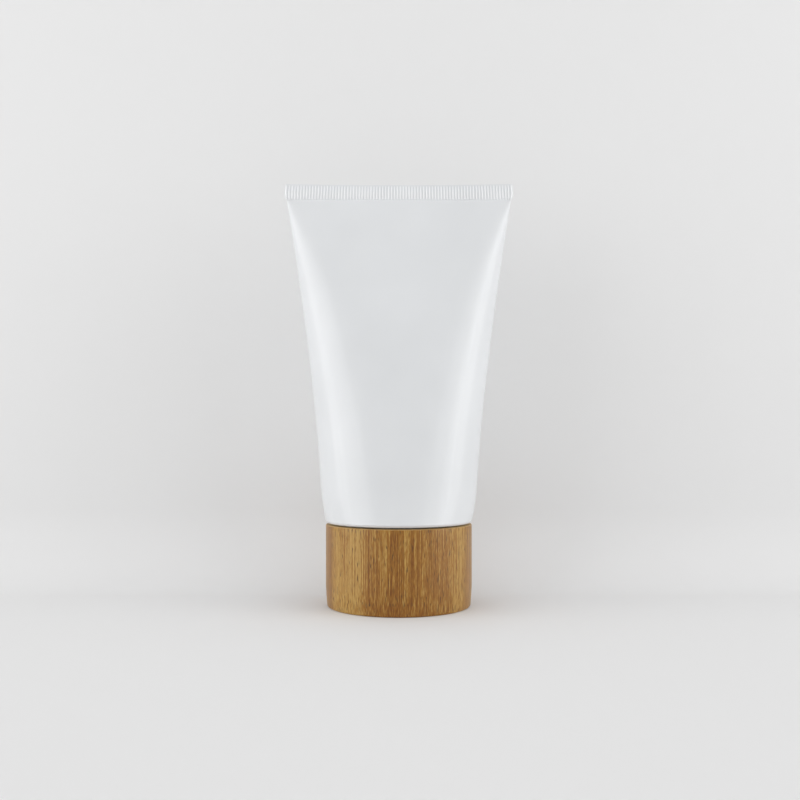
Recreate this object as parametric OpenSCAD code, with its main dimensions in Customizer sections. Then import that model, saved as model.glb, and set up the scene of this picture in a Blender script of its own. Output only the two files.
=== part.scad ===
// Cosmetic squeeze tube standing on its turned wooden screw cap.
// Millimetres. Origin: centre of the cap's flat end. +Z: up along the tube. +X: along the flat sealed end.

/* [Sleeve] */
// Diameter of the sleeve, and of the cap, where both are round
tube_d = 50; // [40:1:60]
// Length of the sleeve from the shoulder to the seal
sleeve_len = 110.7; // [80:0.1:150]
// Thickness of the sleeve's wall
sleeve_wall = 0.5; // [0.4:0.05:0.8]
// How far the full sleeve bulges sideways above its foot
sleeve_swell = 1.2; // [0.6:0.1:1.6]
// How far the sleeve draws in to meet the shoulder
foot_tuck = 1.4; // [0.8:0.1:1.6]
// Height over which it draws in
foot_h = 12; // [8:0.5:16]

/* [Seal] */
// Height of the flat sealed end
seal_h = 5.5; // [4:0.5:9]
// Thickness of the sealed end, two walls welded together
seal_t = 1; // [0.9:0.05:1.6]
// Spacing of the ribs pressed into it
seal_pitch = 1; // [0.8:0.1:2]
// Height of those ribs
seal_rib = 0.15; // [0.1:0.05:0.3]

/* [Shoulder] */
// Thickness of the moulded shoulder
shoulder_t = 1.2; // [1:0.1:1.8]
// Height of the shoulder's rim inside the sleeve
rim_h = 3; // [2:0.5:5]
// How far inside the cap's mouth the shoulder's cone starts
cone_inset = 0.6; // [0.4:0.1:2]
// Slope of the shoulder's cone
cone_angle = 20; // [12:1:24]
// Diameter of the neck between its thread ridges
neck_d = 15.2; // [13:0.2:18]
// Thickness of the neck's wall
neck_wall = 1.8; // [1.4:0.1:2.2]
// Diameter of the hole that the cream comes out of
orifice_d = 6; // [3:0.5:8]
// Thickness of the neck's end round that hole
tip_t = 1.5; // [1:0.1:2]

/* [Thread] */
// Rise of the thread in one turn
thread_lead = 5; // [4:0.5:6]
// Number of ridges that wind round together
thread_starts = 2; // [1:1:2]
// Height of a ridge above the neck
thread_depth = 0.9; // [0.6:0.1:1.1]
// Width of a ridge at its foot
thread_w = 1; // [0.6:0.1:1]
// Length of neck that the ridges cover
thread_len = 8; // [6:0.5:9]
// Plain length of neck below them
thread_lead_in = 3.8; // [3:0.2:5]
// Clearance between the two threads
thread_gap = 0.35; // [0.3:0.05:0.45]

/* [Cap] */
// Height of the wooden cap
cap_h = 28; // [27:0.5:36]
// Thickness of its side
cap_wall = 4; // [3:0.25:4.5]
// Thickness of its closed end
cap_end = 4; // [3:0.25:5]
// Radius of the rounded edge round its closed end
cap_edge = 1; // [0.5:0.1:2]
// Radius of the softened edges of its open end
cap_lip = 0.35; // [0.2:0.05:0.6]
// Gap between the cap's rim and the sleeve
cap_gap = 0.35; // [0.3:0.05:0.8]

/* [Insert] */
// Thickness of the moulded insert's skirt and end
insert_t = 1.2; // [1:0.1:1.6]
// How far its skirt stops below the wooden rim
insert_drop = 0.8; // [0.6:0.1:2]
// Thickness of the threaded boss round the neck
boss_wall = 1.3; // [1.1:0.1:1.8]
// Height of the threaded boss above the insert's end
boss_h = 15; // [14:0.5:16]
// Thickness of the webs between boss and skirt
web_t = 1; // [0.8:0.1:1.6]
// Height of those webs
web_h = 8; // [5:0.5:12]
// Thickness of the sealing disc under the neck
disc_t = 1; // [0.8:0.1:1.5]

/* [Cream] */
// Share of the sleeve's length that the cream fills
fill_share = 0.86; // [0.5:0.01:0.9]
// Gap left round the cream
fill_gap = 0.3; // [0.2:0.05:0.5]

/* [Hidden] */
$fn = 96;

tube_r = tube_d / 2;
flat_half = PI * tube_r / 2;            // half the width of the sleeve pressed flat
seat_clear = 0.1;                       // sleeve to shoulder rim, and edges that only just part
foot_z = cap_h + cap_gap;               // lowest edge of the sleeve, and underside of the shoulder
seal_z = foot_z + sleeve_len;           // where the sleeve goes flat
foot_half = tube_r + sleeve_swell - foot_tuck;
foot_corner = 0.3 * sleeve_wall / 0.5;  // rounding under the sleeve, kept inside its wall
seal_inset = 0.7;                       // sleeve edge inside the sealed end's edge
width_power = 1.46;                     // how late the sleeve widens
flat_share = 0.8;                       // how flat its faces are pulled: 0 an oval, 1 straight between half circles
flat_power = 4;                         // how soon above the foot that starts
close_power = 12;                       // how late its faces turn in to the seal
cavity_share = 0.985;                   // where the hollow ends, just below the seal

insert_z = cap_end + insert_t;          // upper side of the insert's end
tip_z = insert_z + disc_t;              // lowest point of the neck
neck_r = neck_d / 2;
insert_r = tube_r - cap_wall;
cone_r = insert_r - cone_inset;         // where the cone meets the flat ledge over the cap's rim
cone_drop = (cone_r - neck_r) * tan(cone_angle);
boss_r = neck_r + thread_depth + thread_gap;
thread_z = tip_z + thread_lead_in;
boss_thread_z = thread_z + 2.1;         // the cap's ridges start a little above the neck's
boss_lead_in = 0.6;                     // plain end of the boss above them
boss_thread_len = insert_z + boss_h - boss_lead_in - boss_thread_z;
thread_root = 0.4;                      // how deep a ridge is rooted in its wall

ring_points = 64;                       // points round one section of the sleeve
ring_rows = 20;                         // sections along the outside
hollow_rows = 14;                       // sections along the hollow
fill_rows = 10;                         // sections along the cream
girth_steps = 18;                       // halvings that find the depth of a section
thread_steps = 24;                      // straight pieces in one turn of a ridge

// The sleeve grows shallower above its foot, so the rim's top or its foot is the tight place
rim_r = min(foot_half, half_depth(rim_h / sleeve_len)) - sleeve_wall - seat_clear;

function mix(low, high, share) = low + (high - low) * share;

// Perimeter of a section: an ellipse with half-axes a and b, parted in the middle by a straight run
function girth(a, b, run) = 4 * run + PI * (3 * (a + b) - sqrt((3 * a + b) * (a + 3 * b)));

// The sleeve's girth never changes, so the depth of a section follows from its width
function girth_depth(a, run, low, high, left) =
    left == 0 ? (low + high) / 2
    : girth(a, (low + high) / 2, run) > 2 * PI * tube_r
        ? girth_depth(a, run, low, (low + high) / 2, left - 1)
        : girth_depth(a, run, (low + high) / 2, high, left - 1);

// Half width of the sleeve at a share of its length
function half_width(share) =
    mix(tube_r + sleeve_swell, flat_half - seal_inset, pow(share, width_power))
    - foot_tuck * pow(max(0, 1 - share * sleeve_len / foot_h), 2);

// Half of the straight run that the seal pulls into its faces there
function straight_run(share) =
    let (a = half_width(share))
    flat_share * (1 - pow(1 - share, flat_power)) * max(0, a - (PI * tube_r - 2 * a) / (PI - 2));

// Half depth of the sleeve there, closing on the sealed end
function half_depth(share) =
    let (
        a = half_width(share),
        run = straight_run(share),
        full = min(a, girth_depth(a - run, run, 0, tube_r * 1.1, girth_steps))
    )
    seal_t / 2 + (full - seal_t / 2) * pow(max(0, 1 - pow(share, close_power)), 0.6);

// Shares of the length, closer together towards both ends
function eased(step, rows) = (1 - cos(180 * step / rows)) / 2;

// One section with half width a, half depth b and a straight run in its faces
function ring(a, b, z, run = 0) =
    [for (i = [0 : ring_points - 1])
        let (across = cos(360 * i / ring_points))
        [(a - run) * across + run * sign(across), b * sin(360 * i / ring_points), z]];

// Section of the sleeve at a share of its length, drawn in by an inset
function sleeve_ring(share, inset) =
    ring(half_width(share) - inset, half_depth(share) - inset, foot_z + sleeve_len * share, straight_run(share));

// Faces between ring number row and the next
function band_faces(row) =
    [for (i = [0 : ring_points - 1])
        let (next = (i + 1) % ring_points, low = row * ring_points, high = low + ring_points)
        [low + i, high + i, high + next, low + next]];

function all_band_faces(first, last) = [for (row = [first : last - 1]) each band_faces(row)];

// Solid through a stack of rings, closed flat at both ends
module stacked(rings) {
    count = len(rings);
    top = (count - 1) * ring_points;
    polyhedron(
        points = [for (one = rings) each one],
        faces = concat(
            [[for (i = [0 : ring_points - 1]) i]],
            all_band_faces(0, count - 1),
            [[for (i = [ring_points - 1 : -1 : 0]) top + i]]
        ),
        convexity = 4
    );
}

// One quarter of a round edge in a profile, from one angle to another
function arc(centre, r, from, to) =
    [for (i = [0 : 6]) centre + r * [cos(mix(from, to, i / 6)), sin(mix(from, to, i / 6))]];

// Helical ridge from a root radius to a crest radius, fading into its wall at both ends
module ridge(root_r, crest_r, z, length, turn) {
    steps = ceil(length / thread_lead * thread_steps);
    outward = crest_r > root_r ? 1 : -1;
    wall_r = root_r + outward * thread_root;
    sections = [for (i = [0 : steps])
        let (
            angle = turn + 360 * (length / thread_lead) * i / steps,
            height = z + length * i / steps,
            fade = min(1, (min(i, steps - i) + 0.3) / 4),
            tip_r = mix(wall_r, crest_r, fade),
            spoke = [cos(angle), sin(angle)]
        )
        [
            [root_r * spoke[0], root_r * spoke[1], height - thread_w / 2],
            [tip_r * spoke[0], tip_r * spoke[1], height - thread_w / 4],
            [tip_r * spoke[0], tip_r * spoke[1], height + thread_w / 4],
            [root_r * spoke[0], root_r * spoke[1], height + thread_w / 2]
        ]];
    sides = [for (row = [0 : steps - 1], k = [0 : 3])
        let (low = row * 4, next = (k + 1) % 4)
        outward > 0
            ? [low + k, low + next, low + 4 + next, low + 4 + k]
            : [low + k, low + 4 + k, low + 4 + next, low + next]];
    start_face = outward > 0 ? [3, 2, 1, 0] : [0, 1, 2, 3];
    end_face = [for (k = start_face) steps * 4 + 3 - k];
    polyhedron(points = [for (one = sections) each one], faces = concat([start_face], sides, [end_face]));
}

// Thin welded sleeve: a round foot that goes over into the flat ribbed seal
module sleeve() {
    corner = [for (k = [0 : 2])
        let (inset = foot_corner * (1 - sin(30 * k)))
        ring(foot_half - inset, foot_half - inset, foot_z + foot_corner * (1 - cos(30 * k)))];
    outside = [for (i = [1 : ring_rows]) sleeve_ring(eased(i, ring_rows), 0)];
    tongue = ring(flat_half - seal_inset, seal_t / 2, seal_z + seal_h / 2, straight_run(1));
    hollow = [for (i = [0 : hollow_rows]) sleeve_ring(cavity_share * eased(i, hollow_rows), sleeve_wall)];
    below = ring(foot_half - sleeve_wall, foot_half - sleeve_wall, foot_z - 1);
    color("#EDEFF0") {
        difference() {
            stacked(concat(corner, outside, [tongue]));
            stacked(concat([below], hollow));
        }
        seal_band();
    }
}

// The sealed end: fine upright ribs pressed into both of its faces
module seal_band() {
    ribs = floor(2 * flat_half / seal_pitch);
    half_rib = flat_half / ribs;
    front = [for (i = [0 : 2 * ribs])
        [i * half_rib - flat_half, -seal_t / 2 - seat_clear - (i % 2) * seal_rib]];
    back = [for (i = [2 * ribs : -1 : 0])
        [i * half_rib - flat_half, seal_t / 2 + seat_clear + (i % 2) * seal_rib]];
    translate([0, 0, seal_z])
        linear_extrude(seal_h)
            polygon(concat(front, back));
}

// Moulded head: rim, flat ledge, cone and threaded neck in one piece
module shoulder() {
    neck_top = foot_z - cone_drop;
    bore_r = neck_r - neck_wall;
    chamfer = 0.6;
    bore_top = foot_z + shoulder_t - (cone_r - bore_r) * tan(cone_angle);
    color("#F4F4F2") {
        rotate_extrude()
            polygon([
                [orifice_d / 2, tip_z],
                [neck_r - chamfer, tip_z],
                [neck_r, tip_z + chamfer],
                [neck_r, neck_top],
                [cone_r, foot_z],
                [rim_r, foot_z],
                [rim_r, foot_z + rim_h],
                [rim_r - shoulder_t, foot_z + rim_h],
                [rim_r - shoulder_t, foot_z + shoulder_t],
                [cone_r, foot_z + shoulder_t],
                [bore_r, bore_top],
                [bore_r, tip_z + tip_t],
                [orifice_d / 2, tip_z + tip_t]
            ]);
        for (i = [0 : thread_starts - 1])
            ridge(neck_r - thread_root, neck_r + thread_depth, thread_z, thread_len, 360 * i / thread_starts);
    }
}

// What the tube holds: it fills the neck, the cone and most of the sleeve
module cream() {
    bore_r = neck_r - neck_wall - fill_gap;
    floor_z = foot_z + shoulder_t + fill_gap;
    cone_foot = floor_z - (cone_r - bore_r) * tan(cone_angle);
    collar_r = rim_r - shoulder_t - fill_gap;
    collar_z = foot_z + rim_h + fill_gap;
    first = (collar_z - foot_z) / sleeve_len;
    color("#F3EDE2") {
        rotate_extrude()
            polygon([
                [0, tip_z + tip_t + fill_gap],
                [bore_r, tip_z + tip_t + fill_gap],
                [bore_r, cone_foot],
                [cone_r, floor_z],
                [collar_r, floor_z],
                [collar_r, collar_z + 1],
                [0, collar_z + 1]
            ]);
        stacked([for (i = [0 : fill_rows])
            sleeve_ring(mix(first, fill_share, i / fill_rows), sleeve_wall + fill_gap)]);
    }
}

// Turned wooden cup of the cap
module cap_shell() {
    color("#9C6F3A")
        rotate_extrude()
            polygon(concat(
                [[0, 0]],
                arc([tube_r - cap_edge, cap_edge], cap_edge, -90, 0),
                arc([tube_r - cap_lip, cap_h - cap_lip], cap_lip, 0, 90),
                arc([insert_r + cap_lip, cap_h - cap_lip], cap_lip, 90, 180),
                [[insert_r, cap_end], [0, cap_end]]
            ));
}

// Moulded insert of the cap: end, skirt, threaded boss and the webs between them
module cap_insert() {
    skirt_z = cap_h - insert_drop;
    boss_outer = boss_r + boss_wall;
    overlap = 0.4;
    half_pitch = 180 / thread_starts;   // turns the boss's ridges half way between the neck's
    web_len = insert_r - insert_t - boss_outer + 2 * overlap;
    color("#F1F1EF") {
        rotate_extrude()
            polygon([
                [0, cap_end],
                [insert_r, cap_end],
                [insert_r, skirt_z],
                [insert_r - insert_t, skirt_z],
                [insert_r - insert_t, insert_z],
                [boss_outer, insert_z],
                [boss_outer, insert_z + boss_h],
                [boss_r, insert_z + boss_h],
                [boss_r, insert_z],
                [0, insert_z]
            ]);
        for (angle = [45 : 90 : 315])
            rotate([0, 0, angle])
                translate([boss_outer - overlap, -web_t / 2, insert_z - overlap])
                    cube([web_len, web_t, web_h + overlap]);
        for (i = [0 : thread_starts - 1])
            ridge(boss_r + thread_root, boss_r - thread_depth, boss_thread_z, boss_thread_len,
                half_pitch + 360 * i / thread_starts + 360 * (boss_thread_z - thread_z) / thread_lead);
    }
}

// Soft disc that closes the neck; it turns with the neck
module sealing_disc() {
    color("#E8E6E0")
        translate([0, 0, insert_z])
            cylinder(h = disc_t, r = boss_r - thread_gap);
}

sleeve();
shoulder();
cream();
cap_shell();
cap_insert();
sealing_disc();
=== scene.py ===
import math

import bpy
import numpy as np
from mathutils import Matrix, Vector


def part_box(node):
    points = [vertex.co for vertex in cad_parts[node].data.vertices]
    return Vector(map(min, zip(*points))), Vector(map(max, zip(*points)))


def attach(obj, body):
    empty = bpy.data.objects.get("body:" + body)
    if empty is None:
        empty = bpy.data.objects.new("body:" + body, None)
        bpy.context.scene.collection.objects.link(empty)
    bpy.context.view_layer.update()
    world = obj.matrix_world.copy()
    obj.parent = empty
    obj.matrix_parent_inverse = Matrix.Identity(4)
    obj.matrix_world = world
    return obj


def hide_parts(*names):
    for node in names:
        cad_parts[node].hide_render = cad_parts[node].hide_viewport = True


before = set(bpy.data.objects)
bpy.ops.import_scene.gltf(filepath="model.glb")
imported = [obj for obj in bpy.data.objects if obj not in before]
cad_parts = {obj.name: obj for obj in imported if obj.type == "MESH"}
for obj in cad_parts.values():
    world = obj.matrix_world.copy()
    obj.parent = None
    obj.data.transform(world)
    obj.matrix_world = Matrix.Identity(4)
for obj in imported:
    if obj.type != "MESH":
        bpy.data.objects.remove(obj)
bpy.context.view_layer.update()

# White squeeze tube on a turned wooden cap. Metres; +Z up, the photograph looks along +Y.

mm = 0.001
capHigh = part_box("cap_shell")[1]
sleeveLow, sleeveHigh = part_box("sleeve")
headLow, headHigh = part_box("shoulder")
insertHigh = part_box("cap_insert")[1]
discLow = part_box("sealing_disc")[0]

tubeRadius = capHigh.x               # sleeve and cap share one diameter
flatHalf = math.pi * tubeRadius / 2  # half the width of the sleeve pressed flat
footZ = sleeveLow.z
print("frame read: tube of", round(2 * tubeRadius / mm, 1), "mm")


# Small helpers

def linearColour(hexText):
    values = [int(hexText[i:i + 2], 16) / 255 for i in (1, 3, 5)]
    return tuple(v / 12.92 if v <= 0.04045 else ((v + 0.055) / 1.055) ** 2.4 for v in values) + (1.0,)


def addNode(tree, kind, links=None, **settings):
    # one node: attributes by name, unlinked inputs by "in_" and name or number, links from other outputs
    node = tree.nodes.new(kind)
    for key, value in settings.items():
        if key.startswith("in_"):
            socket = key[3:]
            node.inputs[int(socket) if socket.isdigit() else socket.replace("_", " ")].default_value = value
        else:
            setattr(node, key, value)
    for socket, source in (links or {}).items():
        tree.links.new(source, node.inputs[socket])
    return node


def newMaterial(name, **constants):
    # a Principled material whose constant values sit on the shader's own sockets
    material = bpy.data.materials.new(name)
    material.use_nodes = True
    shader = material.node_tree.nodes["Principled BSDF"]
    for key, value in constants.items():
        shader.inputs[key.replace("_", " ")].default_value = value
    return material, material.node_tree, shader


def newObject(name, vertices, faces, material, smoothAngle=40):
    mesh = bpy.data.meshes.new(name)
    mesh.from_pydata([tuple(v) for v in vertices], [], faces)
    mesh.validate()
    mesh.materials.append(material)
    thing = bpy.data.objects.new(name, mesh)
    bpy.context.collection.objects.link(thing)
    mesh.polygons.foreach_set("use_smooth", [True] * len(mesh.polygons))
    mesh.set_sharp_from_angle(angle=math.radians(smoothAngle))
    return thing


def ringFaces(rows, columns, flip=False):
    # quads between rings of points that are stacked row by row
    faces = []
    for row in range(rows - 1):
        for i in range(columns):
            j = (i + 1) % columns
            a, b = row * columns, (row + 1) * columns
            quad = (a + i, a + j, b + j, b + i)
            faces.append(quad[::-1] if flip else quad)
    return faces


def lathe(profile, segments):
    # solid of revolution from (radius, height) points in order up the outside and down the inside
    turn = np.linspace(0, 2 * math.pi, segments, endpoint=False)
    vertices, faces, starts = [], [], []
    for radius, height in profile:
        starts.append(len(vertices))
        if radius < 1e-9:
            vertices.append((0, 0, height))
        else:
            vertices.extend((radius * math.cos(a), radius * math.sin(a), height) for a in turn)
    closed = profile[0][0] > 1e-9
    pairs = [(k, k + 1) for k in range(len(profile) - 1)] + ([(len(profile) - 1, 0)] if closed else [])
    for low, high in pairs:
        a, b = starts[low], starts[high]
        for i in range(segments):
            j = (i + 1) % segments
            if profile[low][0] < 1e-9:
                faces.append((a, b + j, b + i))
            elif profile[high][0] < 1e-9:
                faces.append((a + i, a + j, b))
            else:
                faces.append((a + i, a + j, b + j, b + i))
    return vertices, faces


def roundCorner(centre, radius, fromAngle, toAngle, steps=6):
    angles = [math.radians(fromAngle + (toAngle - fromAngle) * i / steps) for i in range(steps + 1)]
    return [(centre[0] + radius * math.cos(a), centre[1] + radius * math.sin(a)) for a in angles]


def helicalRidge(rootRadius, crestRadius, startZ, length, turn, thread):
    # one thread ridge of rounded section, fading into its wall at both ends
    steps = math.ceil(length / thread["lead"] * thread["stepsPerTurn"])
    # reach from the wall and place along its width, as shares, of the section's points
    section = [(0.0, -0.5), (0.55, -0.36), (0.9, -0.24), (1.0, -0.1),
               (1.0, 0.1), (0.9, 0.24), (0.55, 0.36), (0.0, 0.5)]
    vertices, faces, size = [], [], len(section)
    for i in range(steps + 1):
        share = i / steps
        angle = turn + 2 * math.pi * length / thread["lead"] * share
        fade = min(1.0, (min(i, steps - i) + thread["fadeStart"]) / thread["fadeSteps"])
        fade = fade * fade * (3 - 2 * fade)
        for reach, lift in section:
            radius = rootRadius + (crestRadius - rootRadius) * reach * max(fade, thread["lowest"])
            height = startZ + length * share + lift * thread["width"]
            vertices.append((radius * math.cos(angle), radius * math.sin(angle), height))
    for i in range(steps):
        for k in range(size):
            n = (k + 1) % size
            a, b = i * size, (i + 1) * size
            faces.append((a + k, a + n, b + n, b + k))
    faces.append(tuple(range(size))[::-1])
    faces.append(tuple(steps * size + k for k in range(size)))
    if crestRadius < rootRadius:
        faces = [face[::-1] for face in faces]
    return vertices, faces


def joined(parts):
    # several lists of vertices and faces as one
    vertices, faces = [], []
    for partVertices, partFaces in parts:
        start = len(vertices)
        vertices.extend(partVertices)
        faces.extend(tuple(start + i for i in face) for face in partFaces)
    return vertices, faces


# Camera: level, square to the tube, where the photograph was taken from

view = {
    "distance": 302 * mm,      # lens to the tube's axis
    "height": 52.5 * mm,       # level with the lower third of the sleeve
    "aside": 0.4 * mm,         # the tube stands a touch left of the picture's middle
    "lens": 39.5,              # mm on a 36 mm wide sensor
    "shift": 0.065,            # the picture's middle lies above the level line
}


def makeCamera():
    data = bpy.data.cameras.new("photoCamera")
    data.sensor_width = 36
    data.lens = view["lens"]
    data.shift_y = view["shift"]
    data.clip_start = 0.01
    camera = bpy.data.objects.new("photoCamera", data)
    camera.location = (view["aside"], -view["distance"], view["height"])
    camera.rotation_euler = (math.radians(90), 0, 0)
    bpy.context.collection.objects.link(camera)
    bpy.context.scene.camera = camera


makeCamera()
print("camera placed")


# Materials

film = {
    "tones": ("#E0E2E4", "#E5E7E9"),
    "cloud": 30 * mm,          # size of the slow changes in tone and gloss
    "cloudRange": (0.3, 0.7),
    "crest": "#F6F7F9",        # painted highlight: the crests of the seal's ribs drawn whiter, where they catch the side light
    "roughness": (0.34, 0.4),
    "peel": 1.6 * mm,          # orange peel of the varnish
    "peelDepth": 0.05 * mm,
    "peelStrength": 0.05,
}


def makePolyethylene():
    # extruded LDPE sleeve under a thin clear varnish: white and satin, with a narrow bright line
    # inside each soft highlight and a trace of orange peel
    material, tree, shader = newMaterial("extrudedPolyethylene", IOR=1.51, Metallic=0.0, Coat_Weight=0.35,
                                         Coat_Roughness=0.06, Coat_IOR=1.5)
    place = addNode(tree, "ShaderNodeTexCoord")
    broad = addNode(tree, "ShaderNodeTexNoise", {"Vector": place.outputs["Object"]},
                    in_Scale=1 / film["cloud"], in_Detail=2.0)
    tone = addNode(tree, "ShaderNodeValToRGB", {"Fac": broad.outputs["Fac"]})
    for end in (0, 1):
        tone.color_ramp.elements[end].position = film["cloudRange"][end]
        tone.color_ramp.elements[end].color = linearColour(film["tones"][end])
    # the crests of the seal's ribs are painted whiter: a painted highlight
    crest = addNode(tree, "ShaderNodeAttribute", attribute_name="paintedRibHighlightMask")
    withRibHighlight = addNode(tree, "ShaderNodeMix", {0: crest.outputs["Fac"], 6: tone.outputs["Color"]},
                       data_type="RGBA")
    withRibHighlight.inputs[7].default_value = linearColour(film["crest"])
    tree.links.new(withRibHighlight.outputs[2], shader.inputs["Base Color"])
    gloss = addNode(tree, "ShaderNodeMapRange", {"Value": broad.outputs["Fac"]},
                    in_To_Min=film["roughness"][0], in_To_Max=film["roughness"][1])
    tree.links.new(gloss.outputs["Result"], shader.inputs["Roughness"])
    peel = addNode(tree, "ShaderNodeTexNoise", {"Vector": place.outputs["Object"]},
                   in_Scale=1 / film["peel"], in_Detail=2.0)
    bump = addNode(tree, "ShaderNodeBump", {"Height": peel.outputs["Fac"]},
                   in_Strength=film["peelStrength"], in_Distance=film["peelDepth"])
    tree.links.new(bump.outputs["Normal"], shader.inputs["Normal"])
    return material


wood = {
    "light": "#BA944C",
    "mid": "#99671A",
    "dark": "#7A4600",
    "fleck": "#5C3B12",
    "paintedRimHighlight": "#CBA568",                       # painted highlight along the rim, where its rounded lip catches the light
    "paintedRimHighlightLate": "#A87C40",                   # late wood of its growth rings, in the painted rim highlight
    "sheen": "#F2DCA8",                        # light that raised fibres give back at grazing angles
    # width, length and strength of each layer of upright grain, widths and lengths in mm
    "grain": [(20, 200, 1.2), (6, 120, 0.45), (0.3, 60, 0.95), (0.22, 9, 0.75), (0.24, 1.8, 0.55)],
    "fleckSize": (0.3 * mm, 2.6 * mm),         # short dark rays of beech
    "ringSpacing": 2.6 * mm,                   # growth rings round a pith behind the block
    "pith": (-12 * mm, -46 * mm, 0),
    "cutFrom": (-400 * mm, -232 * mm, 0),      # where in the board the block was cut
    "ringWave": 0.314,                         # spacing of the wave texture at a scale of 1
    "ringStrength": 0.06,
    "wander": 0.5 * mm,                        # how far the grain strays from straight
    "wanderLength": 25 * mm,
    "toneAt": (0.24, 0.5, 0.76),               # where dark, mid and light stand on the sum of the layers
    "fleckAt": (0.66, 0.8),
    "roughness": (0.36, 0.5),
    "poreDepth": 0.05 * mm,
    "poreStrength": 0.2,
}


def makeBeech():
    # beech turned on a lathe and oiled: straight grain up the cap, short dark ray flecks and a warm sheen
    # of raised fibres at grazing angles; its pores are about 0.05 mm wide and drawn coarser to show
    material, tree, shader = newMaterial("turnedBeech", IOR=1.5, Metallic=0.0, Sheen_Weight=0.45,
                                         Sheen_Roughness=0.35, Sheen_Tint=linearColour(wood["sheen"]))
    place = addNode(tree, "ShaderNodeTexCoord")
    board = addNode(tree, "ShaderNodeMapping", {"Vector": place.outputs["Object"]},
                    in_Location=wood["cutFrom"])
    stray = addNode(tree, "ShaderNodeTexNoise", {"Vector": board.outputs["Vector"]},
                    in_Scale=1 / wood["wanderLength"], in_Detail=1.0)
    bent = addNode(tree, "ShaderNodeVectorMath", {0: stray.outputs["Color"], 2: board.outputs["Vector"]},
                   operation="MULTIPLY_ADD", in_1=(wood["wander"], wood["wander"], 0))

    def grainLayer(width, length, detail):
        stretch = addNode(tree, "ShaderNodeMapping", {"Vector": bent.outputs["Vector"]},
                          in_Scale=(1 / width, 1 / width, 1 / length))
        return addNode(tree, "ShaderNodeTexNoise", {"Vector": stretch.outputs["Vector"]},
                       in_Scale=1.0, in_Detail=detail)

    offCentre = addNode(tree, "ShaderNodeMapping", {"Vector": bent.outputs["Vector"]},
                        in_Location=wood["pith"])
    rings = addNode(tree, "ShaderNodeTexWave", {"Vector": offCentre.outputs["Vector"]}, wave_type="RINGS",
                    rings_direction="Z", wave_profile="SAW", in_Scale=wood["ringWave"] / wood["ringSpacing"],
                    in_Distortion=2.0, in_Detail=1.0, in_Detail_Scale=0.4)
    middle = 0.5 - sum(strength for _, _, strength in wood["grain"]) / 2
    total = addNode(tree, "ShaderNodeMath", {0: rings.outputs["Fac"]}, operation="MULTIPLY_ADD",
                    in_1=wood["ringStrength"], in_2=middle - wood["ringStrength"] / 2)
    for width, length, strength in wood["grain"]:
        layer = grainLayer(width * mm, length * mm, 1.0)
        total = addNode(tree, "ShaderNodeMath", {0: layer.outputs["Fac"], 2: total.outputs[0]},
                        operation="MULTIPLY_ADD", in_1=strength)
    tone = addNode(tree, "ShaderNodeValToRGB", {"Fac": total.outputs[0]})
    ramp = tone.color_ramp
    darkAt, midAt, lightAt = wood["toneAt"]
    ramp.elements[0].position, ramp.elements[0].color = darkAt, linearColour(wood["dark"])
    ramp.elements[1].position, ramp.elements[1].color = lightAt, linearColour(wood["light"])
    ramp.elements.new(midAt).color = linearColour(wood["mid"])
    fleck = grainLayer(*wood["fleckSize"], 0.0)
    spots = addNode(tree, "ShaderNodeMapRange", {"Value": fleck.outputs["Fac"]},
                    in_From_Min=wood["fleckAt"][0], in_From_Max=wood["fleckAt"][1])
    colour = addNode(tree, "ShaderNodeMix", {0: spots.outputs["Result"], 6: tone.outputs["Color"]},
                     data_type="RGBA")
    colour.inputs[7].default_value = linearColour(wood["fleck"])
    # the rim is painted paler: a painted highlight on its rounded lip
    rim = addNode(tree, "ShaderNodeAttribute", attribute_name="paintedRimHighlightMask")
    withRimHighlight = addNode(tree, "ShaderNodeMix", {0: rim.outputs["Fac"], 6: colour.outputs[2]}, data_type="RGBA")
    ringTone = addNode(tree, "ShaderNodeMix", {0: rings.outputs["Fac"]}, data_type="RGBA")
    ringTone.inputs[6].default_value = linearColour(wood["paintedRimHighlight"])
    ringTone.inputs[7].default_value = linearColour(wood["paintedRimHighlightLate"])
    tree.links.new(ringTone.outputs[2], withRimHighlight.inputs[7])
    tree.links.new(withRimHighlight.outputs[2], shader.inputs["Base Color"])
    gloss = addNode(tree, "ShaderNodeMapRange", {"Value": total.outputs[0]},
                    in_To_Min=wood["roughness"][0], in_To_Max=wood["roughness"][1])
    tree.links.new(gloss.outputs["Result"], shader.inputs["Roughness"])
    bump = addNode(tree, "ShaderNodeBump", {"Height": total.outputs[0]},
                   in_Strength=wood["poreStrength"], in_Distance=wood["poreDepth"])
    tree.links.new(bump.outputs["Normal"], shader.inputs["Normal"])
    return material


# two tones, roughness and size of the grain; plastics take their grain from the mould, foam from its
# cut cells and cream from how it was filled
plain = {
    "mouldedPolyethylene": ("#EBEBE8", "#F1F1EE", 0.4, 0.5 * mm),
    "mouldedPolypropylene": ("#EDEDEB", "#F3F3F1", 0.38, 0.4 * mm),
    "softCream": ("#EDE5D6", "#F3EDE2", 0.32, 2 * mm),
    "foamedPolyethylene": ("#DEDCD4", "#E8E6E0", 0.7, 0.25 * mm),
}
plainCloud = 12 * mm           # size of the slow changes in tone
plainSpread = 0.05             # how far the roughness strays either way
grainDepth = 0.03 * mm
grainStrength = 0.1


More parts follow.
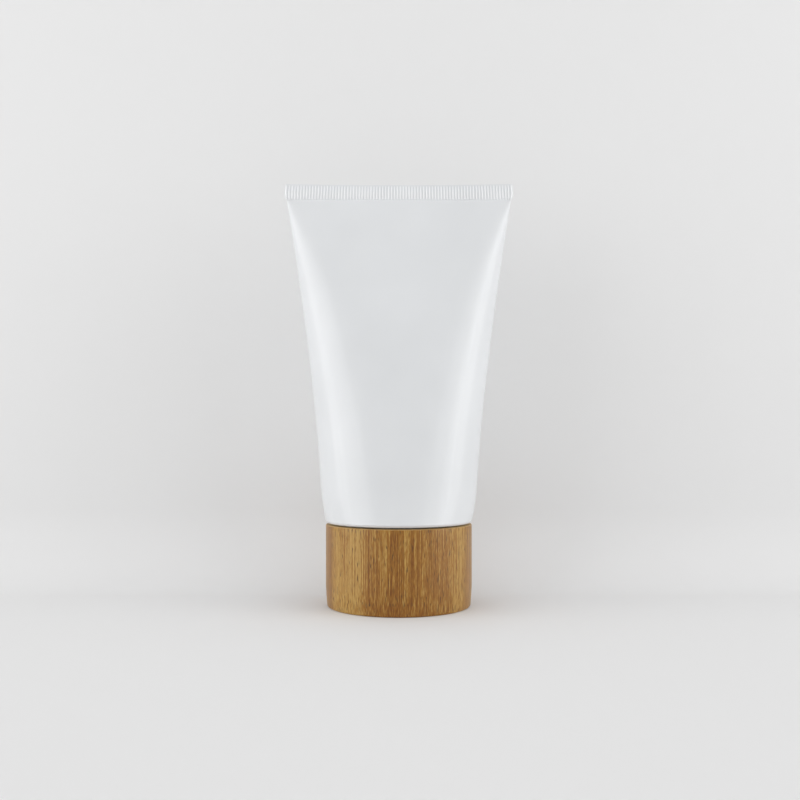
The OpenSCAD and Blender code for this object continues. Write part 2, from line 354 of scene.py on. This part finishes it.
def makePlain(name):
    # nearly even colour, and a fine grain that softens the light: real grain is about 0.05 mm and is
    # drawn coarser to show
    low, high, roughness, grainSize = plain[name]
    material, tree, shader = newMaterial(name, IOR=1.49, Metallic=0.0)
    place = addNode(tree, "ShaderNodeTexCoord")
    broad = addNode(tree, "ShaderNodeTexNoise", {"Vector": place.outputs["Object"]},
                    in_Scale=1 / plainCloud, in_Detail=2.0)
    tone = addNode(tree, "ShaderNodeValToRGB", {"Fac": broad.outputs["Fac"]})
    tone.color_ramp.elements[0].color = linearColour(low)
    tone.color_ramp.elements[1].color = linearColour(high)
    tree.links.new(tone.outputs["Color"], shader.inputs["Base Color"])
    fine = addNode(tree, "ShaderNodeTexNoise", {"Vector": place.outputs["Object"]},
                   in_Scale=1 / grainSize, in_Detail=2.0)
    gloss = addNode(tree, "ShaderNodeMapRange", {"Value": fine.outputs["Fac"]},
                    in_To_Min=roughness - plainSpread, in_To_Max=roughness + plainSpread)
    tree.links.new(gloss.outputs["Result"], shader.inputs["Roughness"])
    bump = addNode(tree, "ShaderNodeBump", {"Height": fine.outputs["Fac"]},
                   in_Strength=grainStrength, in_Distance=grainDepth)
    tree.links.new(bump.outputs["Normal"], shader.inputs["Normal"])
    return material


sleevePlastic = makePolyethylene()
turnedBeech = makeBeech()
headPlastic = makePlain("mouldedPolyethylene")
insertPlastic = makePlain("mouldedPolypropylene")
creamFill = makePlain("softCream")
discFoam = makePlain("foamedPolyethylene")
print("materials made")


# Sleeve: round at the foot, welded flat and ribbed at the top

sleeve = {
    "wall": 0.5 * mm,
    "swell": 1.2 * mm,         # bulge of the full sleeve above its foot
    "footTuck": 1.4 * mm,      # how far it draws in to meet the shoulder
    "footHeight": 12 * mm,
    "footCorner": 0.85 * mm,
    "widthPower": 1.46,
    "closePower": 12,          # how late the two faces close on the seal, and how round that looks
    "closeRound": 0.6,
    "deepest": 1.1,            # no section is deeper than this many times the round one
    # how flat the seal pulls the faces: 0 an oval, 1 straight between half circles
    "flatShare": 0.8,
    "flatPower": 4,
    "sealHeight": 5.5 * mm,
    "sealThickness": 1.0 * mm,
    "sealInset": 0.7 * mm,
    "ribs": 78,                # pressed upright across the seal, 1 mm apart
    "ribHeight": 0.19 * mm,
    "ribShare": 0.5,           # of the spacing that a rib takes up
    "ribEnd": 0.25 * mm,       # how soon it fades out at its lower end
    "plainEdge": 0.45 * mm,    # flat strip along the cut edge
    "ribColumns": 12,
    "ribDraw": 0.35 * mm,      # the ribs lean in towards the cut edge, the outermost by this much
    "ribPivot": 0.3,           # height, as a share of the seal, where they stand 1 mm apart
    # outline of the bowed ends: heights as shares of the seal, and how far out of the flat width
    "endLevels": (0, 0.15, 0.45, 1),
    "endReach": (-0.7 * mm, -0.2 * mm, 0.08 * mm, -0.3 * mm),
    "pressedBy": 0.12,         # share of the seal over which the oval below turns into its slab
    "endPower": 24,            # how near the ends the bowed outline starts to show
    "bow": 0.4 * mm,           # the cut top edge dips this much in the middle
    "edgeRound": 0.25 * mm,
    "bodyColumns": 400,
    "bodyRows": 90,
    "footRows": 5,
    "hollowRows": 12,
    "hollowTop": 0.985,        # where the hollow ends below the seal
    "tongue": 0.4,             # thickness, as a share of the seal's, of the body's end inside it
}
sealZ = sleeveHigh.z - sleeve["sealHeight"]
sleeveLength = sealZ - footZ


def girthOf(a, b, run):
    # an oval parted in the middle by a straight run
    return 4 * run + math.pi * (3 * (a + b) - math.sqrt((3 * a + b) * (a + 3 * b)))


def sleeveHalfWidth(share):
    full = tubeRadius + sleeve["swell"]
    widening = (flatHalf - sleeve["sealInset"] - full) * share ** sleeve["widthPower"]
    tuck = sleeve["footTuck"] * max(0, 1 - share * sleeveLength / sleeve["footHeight"]) ** 2
    return full + widening - tuck


def straightRun(share):
    # half of the straight part of a section's faces
    width = sleeveHalfWidth(share)
    most = max(0, width - (math.pi * tubeRadius - 2 * width) / (math.pi - 2))
    return sleeve["flatShare"] * (1 - (1 - share) ** sleeve["flatPower"]) * most


def sleeveHalfDepth(share):
    # the girth never changes, so the depth follows from the width, until the faces close on the seal
    width, run = sleeveHalfWidth(share), straightRun(share)
    low, high = 0.0, tubeRadius * sleeve["deepest"]
    for _ in range(30):
        middle = (low + high) / 2
        tooLong = girthOf(width - run, middle, run) > 2 * math.pi * tubeRadius
        low, high = (low, middle) if tooLong else (middle, high)
    edge = sleeve["sealThickness"] / 2
    closing = max(0, 1 - share ** sleeve["closePower"]) ** sleeve["closeRound"]
    return edge + (min(width, low) - edge) * closing


def ovalRing(a, b, z, count, run=0.0):
    # points at equal steps of arc round an oval with a straight run, from its left end across the front
    turn = np.linspace(0, 2 * math.pi, 4097)
    x, y = -(a - run) * np.cos(turn) - run * np.sign(np.cos(turn)), -b * np.sin(turn)
    arc = np.concatenate([[0], np.cumsum(np.hypot(np.diff(x), np.diff(y)))])
    wanted = np.linspace(0, arc[-1], count, endpoint=False)
    return np.stack([np.interp(wanted, arc, x), np.interp(wanted, arc, y), np.full(count, z)], axis=1)


def sealRing(v, count):
    # one level of the sealed end, v from 0 at its lower edge to 1 at the cut edge
    edgeHalf = flatHalf + np.interp(v, sleeve["endLevels"], sleeve["endReach"])
    along = np.linspace(-1, 1, count // 2 + 1)
    # the ribs run straight, only the ends are bowed
    ribHalf = flatHalf - sleeve["ribDraw"] * (v - sleeve["ribPivot"])
    x = along * (ribHalf + (edgeHalf - ribHalf) * np.abs(along) ** sleeve["endPower"])
    height = v * sleeve["sealHeight"]
    above = (sleeve["sealHeight"] - height) / sleeve["plainEdge"]
    fade = min(1, height / sleeve["ribEnd"]) * np.clip(above - 0.5, 0, 1)
    phase = (along + 1) / 2 * sleeve["ribs"] % 1 - 0.5
    rib = np.where(np.abs(phase) < sleeve["ribShare"] / 2,
                   0.5 + 0.5 * np.cos(2 * math.pi * phase / sleeve["ribShare"]), 0)
    fromEdge = (edgeHalf * (1 - np.abs(along)) / sleeve["edgeRound"]).clip(0, 1)
    slab = np.sqrt(1 - (1 - fromEdge) ** 2)
    run = straightRun(1)
    # the sleeve below it, which the jaws press into the slab
    oval = np.sqrt(1 - ((np.abs(x) - run).clip(0) / (edgeHalf - run)).clip(0, 1) ** 2)
    pressed = min(1, v / sleeve["pressedBy"])
    thick = sleeve["sealThickness"] / 2 * (oval + (slab - oval) * pressed)
    thick = thick + sleeve["ribHeight"] * rib * fade * (fromEdge >= 1)
    z = sealZ + (sleeve["sealHeight"] - sleeve["bow"] * (1 - along ** 2)) * v
    front = np.stack([x, -thick, z], axis=1)
    back = np.stack([x, thick, z], axis=1)[::-1]
    # how much painted rib highlight each point carries
    crest = np.concatenate([(rib * fade)[:-1], (rib * fade)[::-1][:-1]])
    return np.concatenate([front[:-1], back[:-1]]), crest


def stripFaces(start, count, flip=False):
    # closes a flat ring from side to side, from its left end to its right end
    half = count // 2
    faces = [(start, start + 1, start + count - 1)]
    faces += [(start + i, start + i + 1, start + count - i - 1, start + count - i)
              for i in range(1, half - 1)]
    faces.append((start + half - 1, start + half, start + half + 1))
    return [face[::-1] for face in faces] if flip else faces


def sealBand():
    count = 2 * sleeve["ribs"] * sleeve["ribColumns"]
    fine = sleeve["ribEnd"] / sleeve["sealHeight"]
    edge = 1 - sleeve["plainEdge"] / sleeve["sealHeight"]
    levels = [0, fine / 2, fine, 0.15, 0.3, 0.45, 0.6, 0.75, edge - 0.04, edge, (1 + edge) / 2, 1]
    rings, crests = zip(*(sealRing(v, count) for v in levels))
    faces = ringFaces(len(levels), count)
    faces += stripFaces((len(levels) - 1) * count, count) + stripFaces(0, count, flip=True)
    return np.concatenate(rings), faces, np.concatenate(crests)


def sleeveBody():
    # the outside from its rounded foot to a tongue inside the sealed end, and the hollow
    count = sleeve["bodyColumns"]
    rings = []
    foot, corner = sleeveHalfWidth(0), sleeve["footCorner"]
    for k in range(sleeve["footRows"]):
        angle = math.pi / 2 * k / sleeve["footRows"]
        inset = corner * (1 - math.sin(angle))
        rings.append(ovalRing(foot - inset, foot - inset, footZ + corner * (1 - math.cos(angle)), count))
    lowest = corner / sleeveLength
    for i in range(sleeve["bodyRows"] + 1):
        share = lowest + (1 - lowest) * (1 - math.cos(math.pi * i / sleeve["bodyRows"])) / 2
        a, b = sleeveHalfWidth(share), sleeveHalfDepth(share)
        rings.append(ovalRing(a, b, footZ + share * sleeveLength, count, straightRun(share)))
    tongueHalf = flatHalf - sleeve["edgeRound"] - sleeve["sealInset"]
    rings.append(ovalRing(tongueHalf, sleeve["sealThickness"] * sleeve["tongue"],
                          sealZ + sleeve["sealHeight"] / 2, count, straightRun(1)))
    hollow = []
    for i in range(sleeve["hollowRows"] + 1):
        share = sleeve["hollowTop"] * (1 - math.cos(math.pi * i / sleeve["hollowRows"])) / 2
        inset = corner if i == 0 else sleeve["wall"]    # the foot is rolled in round the shoulder's rim
        a, b = sleeveHalfWidth(share) - inset, sleeveHalfDepth(share) - inset
        hollow.append(ovalRing(a, b, footZ + share * sleeveLength, count, straightRun(share)))
    start = len(rings) * count
    faces = ringFaces(len(rings), count) + stripFaces(start - count, count)
    faces.extend(tuple(start + i for i in face) for face in ringFaces(len(hollow), count, flip=True))
    for i in range(count):
        j = (i + 1) % count
        faces.append((start + i, start + j, j, i))
    faces += stripFaces(start + (len(hollow) - 1) * count, count, flip=True)
    return np.concatenate(rings + hollow), faces


def makeSleeve():
    body, (bandPoints, bandFaces, crests) = sleeveBody(), sealBand()
    thing = newObject("weldedSleeve", *joined([body, (bandPoints, bandFaces)]), sleevePlastic, 50)
    # the painted rib highlight, carried on the band's points
    pressed = thing.data.attributes.new("paintedRibHighlightMask", "FLOAT", "POINT")
    pressed.data.foreach_set("value", np.concatenate([np.zeros(len(body[0])), crests]))
    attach(thing, "tube")
    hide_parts("sleeve")


makeSleeve()
print("sleeve made")


# Thread shared by neck and cap

thread = {
    "lead": 5 * mm,
    "starts": 2,
    "depth": 0.9 * mm,
    "width": 1.0 * mm,
    "length": 8 * mm,
    "leadIn": 3.8 * mm,
    "gap": 0.35 * mm,
    "rise": 2.1 * mm,          # the cap's ridges start this much above the neck's
    "bossLeadIn": 0.6 * mm,
    "root": 0.4 * mm,
    "stepsPerTurn": 72,
    "fadeSteps": 12,
    "fadeStart": 0.3,
    "lowest": 0.05,            # share of its height that a ridge keeps at its very ends
}

# Shoulder: moulded head with rim, ledge, cone and threaded neck

head = {
    "thickness": 1.2 * mm,
    "rimHeight": 3 * mm,
    "coneInset": 0.6 * mm,
    "coneAngle": 20,
    "neckRadius": 7.6 * mm,
    "neckWall": 1.8 * mm,
    "holeRadius": 3 * mm,
    "tipThickness": 1.5 * mm,
    "chamfer": 0.6 * mm,
    "soft": 0.5 * mm,          # fillets at the foot of neck and cone
    "rimRound": 0.3 * mm,
    "ledgeStep": 0.2 * mm,
    "holeEdge": 0.15 * mm,
    "segments": 160,
}
capWall = 4 * mm
insertRadius = tubeRadius - capWall
tipZ = headLow.z
threadZ = tipZ + thread["leadIn"]


def makeShoulder():
    rim = headHigh.x
    cone = insertRadius - head["coneInset"]
    slope = math.tan(math.radians(head["coneAngle"]))
    neck, bore = head["neckRadius"], head["neckRadius"] - head["neckWall"]
    neckTop = footZ - (cone - neck) * slope
    boreTop = footZ + head["thickness"] - (cone - bore) * slope
    soft, rimRound, holeEdge = head["soft"], head["rimRound"], head["holeEdge"]
    profile = [(head["holeRadius"] + holeEdge, tipZ)]
    profile += roundCorner((neck - head["chamfer"], tipZ + head["chamfer"]), head["chamfer"], -90, 0)
    profile += roundCorner((neck + soft, neckTop - soft), soft, 180, 110, 4)
    profile += [(cone - soft, footZ - soft * slope), (cone + head["ledgeStep"], footZ)]
    profile += roundCorner((rim - rimRound, footZ + rimRound), rimRound, -90, 0, 4)
    profile += [(rim, footZ + head["rimHeight"]), (rim - head["thickness"], footZ + head["rimHeight"]),
                (rim - head["thickness"], footZ + head["thickness"]), (cone, footZ + head["thickness"]),
                (bore, boreTop), (bore, tipZ + head["tipThickness"]),
                (head["holeRadius"], tipZ + head["tipThickness"]), (head["holeRadius"], tipZ + holeEdge)]
    parts = [lathe(profile, head["segments"])]
    for i in range(thread["starts"]):
        parts.append(helicalRidge(neck - thread["root"], neck + thread["depth"], threadZ, thread["length"],
                                  2 * math.pi * i / thread["starts"], thread))
    thing = newObject("threadedShoulder", *joined(parts), headPlastic, 35)
    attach(thing, "tube")
    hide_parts("shoulder")


makeShoulder()
print("shoulder made")


# Cap: turned wooden cup with a moulded insert

cap = {
    "end": 4 * mm,
    "edge": 0.7 * mm,          # rounded edge round the closed end
    "ease": 0.42 * mm,         # the side draws in this much towards that edge
    "easeHeight": 7.5 * mm,
    "easePower": 1.3,
    "endRing": 8 * mm,         # rings that keep the flat end and the straight side evenly shaded
    "sideRing": 2 * mm,
    "rimDrop": 0.11 * mm,      # the rim lies this much below its full height
    "lip": 0.3 * mm,           # softened edges of the open end
    "paintedRimHighlight": 0.6,             # how strong the painted rim highlight is, and how far down its edge that reaches
    "rimHighlightDown": 0.7,
    "segments": 256,
}
insert = {
    "thickness": 1.2 * mm,
    "bossWall": 1.3 * mm,
    "bossHeight": 15 * mm,
    "webThickness": 1.0 * mm,
    "webHeight": 8 * mm,
    "webOverlap": 0.4 * mm,    # how far the webs run into boss, skirt and end
    "soft": 0.3 * mm,
    "segments": 160,
}
insertZ = discLow.z
bossRadius = head["neckRadius"] + thread["depth"] + thread["gap"]


def makeCapShell():
    top, inner, lip, edge = capHigh.z - cap["rimDrop"], insertRadius, cap["lip"], cap["edge"]
    cornerRadius = tubeRadius - cap["ease"] - edge
    profile = [(0, 0), (cornerRadius - cap["endRing"], 0)]
    profile += roundCorner((cornerRadius, edge), edge, -90, -10, 8)
    for z in np.linspace(edge, cap["easeHeight"], 8):
        left = 1 - (z - edge) / (cap["easeHeight"] - edge)
        profile.append((tubeRadius - cap["ease"] * left ** cap["easePower"], z))
    lowest, highest = cap["easeHeight"] + cap["sideRing"], top - lip - cap["sideRing"]
    profile += [(tubeRadius, z) for z in np.linspace(lowest, highest, 6)]
    profile += roundCorner((tubeRadius - lip, top - lip), lip, 0, 90)
    profile += roundCorner((inner + lip, top - lip), lip, 90, 180)
    profile += [(inner, cap["end"]), (0, cap["end"])]
    vertices, faces = lathe(profile, cap["segments"])
    thing = newObject("turnedCapShell", vertices, faces, turnedBeech, 40)
    # a paler band painted on the rim and its lip: a painted highlight
    paintedRimHighlight = thing.data.attributes.new("paintedRimHighlightMask", "FLOAT", "POINT")
    rimHighlightFrom = top - cap["rimHighlightDown"] * lip
    paintedRimHighlight.data.foreach_set("value", [cap["paintedRimHighlight"] if z > rimHighlightFrom else 0.0 for _, _, z in vertices])
    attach(thing, "cap")
    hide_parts("cap_shell")


def makeCapInsert():
    skirtTop, outer = insertHigh.z, insertRadius
    wall, boss = insert["thickness"], bossRadius
    bossOuter, bossTop = boss + insert["bossWall"], insertZ + insert["bossHeight"]
    soft = insert["soft"]
    profile = [(0, cap["end"]), (outer, cap["end"])]
    profile += roundCorner((outer - soft, skirtTop - soft), soft, 0, 90, 4)
    profile += roundCorner((outer - wall + soft, skirtTop - soft), soft, 90, 180, 4)
    profile += roundCorner((outer - wall - soft, insertZ + soft), soft, 0, -90, 4)
    profile += roundCorner((bossOuter + soft, insertZ + soft), soft, -90, -180, 4)
    profile += roundCorner((bossOuter - soft, bossTop - soft), soft, 0, 90, 4)
    profile += roundCorner((boss + soft, bossTop - soft), soft, 90, 180, 4)
    profile += [(boss, insertZ), (0, insertZ)]
    parts = [lathe(profile, insert["segments"])]
    overlap = insert["webOverlap"]
    sides = [(3, 2, 1, 0), (4, 5, 6, 7), (0, 1, 5, 4), (1, 2, 6, 5), (2, 3, 7, 6), (3, 0, 4, 7)]
    for quarter in range(4):
        angle = math.radians(45 + 90 * quarter)
        along = np.array([math.cos(angle), math.sin(angle)])
        across = np.array([-math.sin(angle), math.cos(angle)])
        corners = []
        for z in (insertZ - overlap, insertZ + insert["webHeight"]):
            for r, side in ((bossOuter - overlap, -1), (outer - wall + overlap, -1),
                            (outer - wall + overlap, 1), (bossOuter - overlap, 1)):
                spot = along * r + across * side * insert["webThickness"] / 2
                corners.append((spot[0], spot[1], z))
        parts.append((corners, sides))
    startZ = threadZ + thread["rise"]
    length = bossTop - thread["bossLeadIn"] - startZ
    for i in range(thread["starts"]):
        turn = 2 * math.pi * ((i + 0.5) / thread["starts"] + thread["rise"] / thread["lead"])
        parts.append(helicalRidge(boss + thread["root"], boss - thread["depth"],
                                  startZ, length, turn, thread))
    thing = newObject("mouldedCapInsert", *joined(parts), insertPlastic, 35)
    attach(thing, "cap")
    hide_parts("cap_insert")


def finishCadNode(node, material):
    # a CAD solid whose shape is right keeps its mesh and gets the real finish
    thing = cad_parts[node]
    for slot in thing.material_slots:
        slot.material = material


makeCapShell()
makeCapInsert()
finishCadNode("cream", creamFill)
finishCadNode("sealing_disc", discFoam)
print("cap, cream and disc made")


# Studio: pale floor that sweeps up behind the tube, a white room, and upright softboxes on both sides

studio = {
    "wallY": 48 * mm,          # backdrop close behind the tube, which takes its soft side shadows
    "sweep": 30 * mm,
    "wallHeight": 0.9,
    "reach": 0.62,             # floor and backdrop end before the softboxes, where they would glare
    "paint": "#EAEAEA",
    "worldStrength": 0.564,
    "distance": 0.9,           # upright softboxes stand round the tube, with one strip light on each side
    "boxHeight": 1.08,
    # degrees round from the camera, left is negative, then width and watts
    "boxes": [(-48, 0.378, 1.8), (-68, 0.315, 1.7), (-85, 0.216, 1.6), (-74, 0.024, 0.36),
              (48, 0.378, 1.05), (68, 0.315, 2.05), (85, 0.216, 1.6), (70, 0.026, 0.5)],
    "topWatts": 1.12,
    "topPlace": (0, -0.15, 1.0),
    "topSize": (0.9, 0.7),
    "aimHeight": 80 * mm,
    "floorDrop": 0.3 * mm,     # a plain floor just under the sweep carries it on behind the backdrop
}


def makeStage():
    material, tree, shader = newMaterial("paintedBackdrop", Roughness=0.9, IOR=1.3)
    shader.inputs["Base Color"].default_value = linearColour(studio["paint"])
    # the backdrop is seen through from behind, so that the tube can be looked at from all sides
    side = addNode(tree, "ShaderNodeNewGeometry")
    clear = addNode(tree, "ShaderNodeBsdfTransparent")
    either = addNode(tree, "ShaderNodeMixShader")
    tree.links.new(side.outputs["Backfacing"], either.inputs[0])
    tree.links.new(shader.outputs[0], either.inputs[1])
    tree.links.new(clear.outputs[0], either.inputs[2])
    tree.links.new(either.outputs[0], tree.nodes["Material Output"].inputs["Surface"])
    reach, sweep, wallY = studio["reach"], studio["sweep"], studio["wallY"]
    path = [(-reach, 0)] + [(y, z) for y, z in roundCorner((wallY - sweep, sweep), sweep, -90, 0, 16)]
    path.append((wallY, studio["wallHeight"]))
    vertices = [(x, y, z) for y, z in path for x in (-reach, reach)]
    faces = [(2 * i, 2 * i + 1, 2 * i + 3, 2 * i + 2) for i in range(len(path) - 1)]
    newObject("sweepBackdrop", vertices, faces, material, 60)
    square = ((-1, -1), (1, -1), (1, 1), (-1, 1))
    corners = [(x * reach, y * reach, -studio["floorDrop"]) for x, y in square]
    newObject("studioFloor", corners, [(0, 1, 2, 3)], material)


def addSoftbox(name, place, aim, size, watts):
    data = bpy.data.lights.new(name, "AREA")
    data.shape = "RECTANGLE"
    data.size, data.size_y = size
    data.energy = watts
    lamp = bpy.data.objects.new(name, data)
    lamp.location = place
    lamp.rotation_mode = "QUATERNION"
    lamp.rotation_quaternion = (Vector(aim) - Vector(place)).to_track_quat("-Z", "Y")
    bpy.context.collection.objects.link(lamp)


def makeLights():
    middle = studio["aimHeight"]
    for degrees, width, watts in studio["boxes"]:
        angle, away = math.radians(degrees), studio["distance"]
        place = (away * math.sin(angle), -away * math.cos(angle), middle)
        side = "left" if degrees < 0 else "right"
        size = (width, studio["boxHeight"])
        addSoftbox(side + "Box" + str(abs(degrees)), place, (0, 0, middle), size, watts)
    addSoftbox("topSoftbox", studio["topPlace"], (0, 0, middle), studio["topSize"], studio["topWatts"])
    world = bpy.data.worlds.new("studioWorld")
    bpy.context.scene.world = world
    world.use_nodes = True
    world.node_tree.nodes["Background"].inputs["Color"].default_value = linearColour("#FFFFFF")
    world.node_tree.nodes["Background"].inputs["Strength"].default_value = studio["worldStrength"]


makeStage()
makeLights()
bpy.context.scene.view_settings.view_transform = "Standard"
print("stage and lights made")
